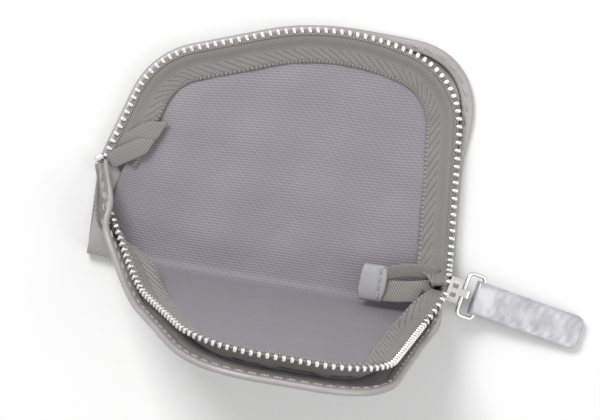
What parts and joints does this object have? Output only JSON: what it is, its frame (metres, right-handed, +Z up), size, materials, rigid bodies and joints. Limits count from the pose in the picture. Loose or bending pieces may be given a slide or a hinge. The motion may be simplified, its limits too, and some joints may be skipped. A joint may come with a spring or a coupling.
{
  "type": "zip coin purse",
  "caption": "Small metallic leather zip purse lying open, with a ribbed lining, a three-sided metal zip, a slider with a wire link and a leather puller.",
  "frame": {"origin": "on the outer face of the back flap, on the fold line, halfway along the zip's width", "axes": "+X along the bottom fold towards the slider, +Y from the fold to the top of the back flap, +Z up, out of the back flap's inside"},
  "size_m": [0.1266, 0.0909, 0.0684],
  "materials": {
    "silver_leather": "fine grain, metallic silver grey",
    "foil_leather": "glossy crinkled foil",
    "lining_twill": "satin ribbed twill",
    "zip_tape": "matt woven tape",
    "thread": "matt thread",
    "zip_metal": "polished"
  },
  "bodies": {
    "back_flap": {"back_lining": "lining_twill", "back_panel": "silver_leather", "back_rim_stitching": "thread", "back_tape_rise": "zip_tape", "back_tape_selvedge": "zip_tape", "back_turned_edge": "silver_leather", "back_zip_cord": "zip_tape", "back_zip_tape": "zip_tape", "back_zip_teeth": "zip_metal", "bottom_fold": "silver_leather", "cap_stitching": "thread", "end_cap": "silver_leather", "left_side_seam": "silver_leather", "left_tape_tails": "zip_tape", "lining_fold": "lining_twill", "right_side_seam": "silver_leather", "right_tape_tails": "zip_tape", "zip_stops": "zip_metal"},
    "front_flap": {"front_lining": "lining_twill", "front_panel": "silver_leather", "front_rim_stitching": "thread", "front_tape_rise": "zip_tape", "front_tape_selvedge": "zip_tape", "front_turned_edge": "silver_leather", "front_zip_cord": "zip_tape", "front_zip_tape": "zip_tape", "front_zip_teeth": "zip_metal"},
    "slider": {"slider_body": "zip_metal", "slider_crown": "zip_metal"},
    "link": {"pull_link": "zip_metal"},
    "puller": {"puller_loop": "foil_leather", "puller_upper_leather": "foil_leather", "puller_lower_leather": "foil_leather"}
  },
  "joints": [
    {"name": "flap_hinge", "type": "hinge", "parent": "back_flap", "child": "front_flap", "pos_m": [0, 0, 0.005], "axis": [-1, 0, 0], "range_deg": [-15, 104]},
    {"name": "slider_travel", "type": "slide", "parent": "back_flap", "child": "slider", "axis": [0, 0, 1], "range_m": [0, 0.004]},
    {"name": "link_hinge", "type": "hinge", "parent": "slider", "child": "link", "pos_m": [0.04953, 0.00357, 0.0074], "axis": [0.1736, 0.9848, 0], "range_deg": [-60, 40]},
    {"name": "puller_hinge", "type": "hinge", "parent": "link", "child": "puller", "pos_m": [0.05372, 0.00283, 0.00541], "axis": [0.1736, 0.9848, 0], "range_deg": [-45, 44]}
  ]
}
